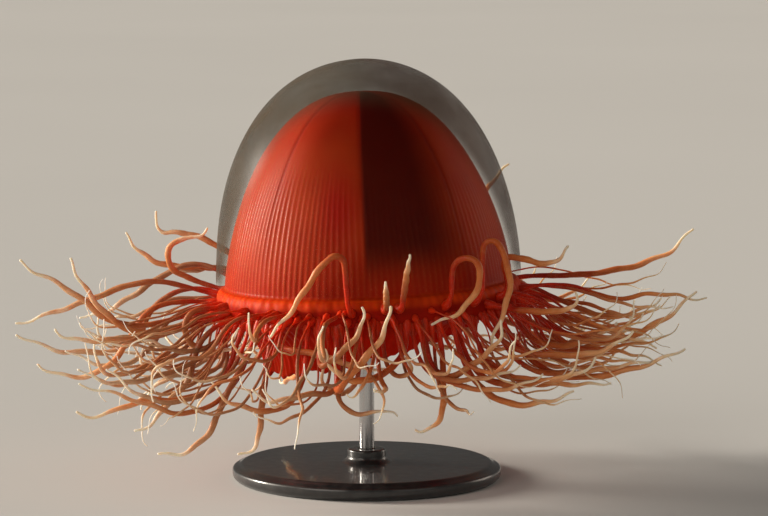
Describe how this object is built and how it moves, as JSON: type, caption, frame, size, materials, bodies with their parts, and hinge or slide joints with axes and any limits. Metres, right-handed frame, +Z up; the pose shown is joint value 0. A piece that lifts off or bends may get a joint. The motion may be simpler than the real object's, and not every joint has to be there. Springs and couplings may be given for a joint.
{
  "type": "jellyfish",
  "caption": "Life-size still model of a deep-sea jellyfish with a clear dome over a red lining, a red velum and a wide fringe of pale-tipped tentacles, on a small round stand.",
  "frame": {"origin": "middle of the stand base's underside, straight under the rod", "axes": "+Z up, out of the bell's top; +X to the right as the animal is seen from the front; -Y towards the viewer"},
  "size_m": [0.0824, 0.0656, 0.05],
  "materials": {
    "clear_jelly": "clear soft jelly, wet and glossy, faintly grey",
    "red_lining": "wet flesh, deep red, finely pleated lengthwise, with a pearly sheen",
    "margin_red": "wet flesh, bright orange-red",
    "velum_red": "thin wet membrane, dark red",
    "stomach_red": "wet flesh, dark red",
    "gonad_red": "wet flesh, red, slightly grainy",
    "tentacle_flesh": "translucent wet flesh, orange-red at the root, tan along the length, cream at the tip",
    "base_lacquer": "satin black lacquer on steel",
    "rod_steel": "fine brushed steel"
  },
  "bodies": {
    "root": {"bell_jelly": "clear_jelly", "bell_lining": "red_lining", "gonad_1": "gonad_red", "gonad_2": "gonad_red", "gonad_3": "gonad_red", "gonad_4": "gonad_red", "gonad_5": "gonad_red", "gonad_6": "gonad_red", "gonad_7": "gonad_red", "gonad_8": "gonad_red", "manubrium": "stomach_red", "margin_ring": "margin_red", "stand_base": "base_lacquer", "stand_rod": "rod_steel", "tentacle_01_root": "tentacle_flesh", "tentacle_01_tip": "tentacle_flesh", "tentacle_02_root": "tentacle_flesh", "tentacle_02_tip": "tentacle_flesh", "tentacle_03": "tentacle_flesh", "tentacle_04": "tentacle_flesh", "tentacle_05": "tentacle_flesh", "tentacle_06": "tentacle_flesh", "tentacle_07": "tentacle_flesh", "tentacle_08_root": "tentacle_flesh", "tentacle_08_tip": "tentacle_flesh", "tentacle_09": "tentacle_flesh", "tentacle_10": "tentacle_flesh", "tentacle_11": "tentacle_flesh", "tentacle_12": "tentacle_flesh", "tentacle_13": "tentacle_flesh", "tentacle_14": "tentacle_flesh", "tentacle_15": "tentacle_flesh", "tentacle_16": "tentacle_flesh", "tentacle_17": "tentacle_flesh", "tentacle_18": "tentacle_flesh", "tentacle_19": "tentacle_flesh", "tentacle_20": "tentacle_flesh", "tentacle_21": "tentacle_flesh", "tentacle_22": "tentacle_flesh", "tentacle_23": "tentacle_flesh", "tentacle_24": "tentacle_flesh", "tentacle_25": "tentacle_flesh", "tentacle_26_root": "tentacle_flesh", "tentacle_26_tip": "tentacle_flesh", "tentacle_27": "tentacle_flesh", "tentacle_28": "tentacle_flesh", "tentacle_29": "tentacle_flesh", "tentacle_30": "tentacle_flesh", "tentacle_31": "tentacle_flesh", "tentacle_32": "tentacle_flesh", "tentacle_33": "tentacle_flesh", "tentacle_34_root": "tentacle_flesh", "tentacle_34_tip": "tentacle_flesh", "tentacle_35": "tentacle_flesh", "tentacle_36": "tentacle_flesh", "tentacle_37": "tentacle_flesh", "tentacle_38": "tentacle_flesh", "tentacle_39": "tentacle_flesh", "tentacle_40": "tentacle_flesh", "velum": "velum_red"}
  },
  "joints": []
}
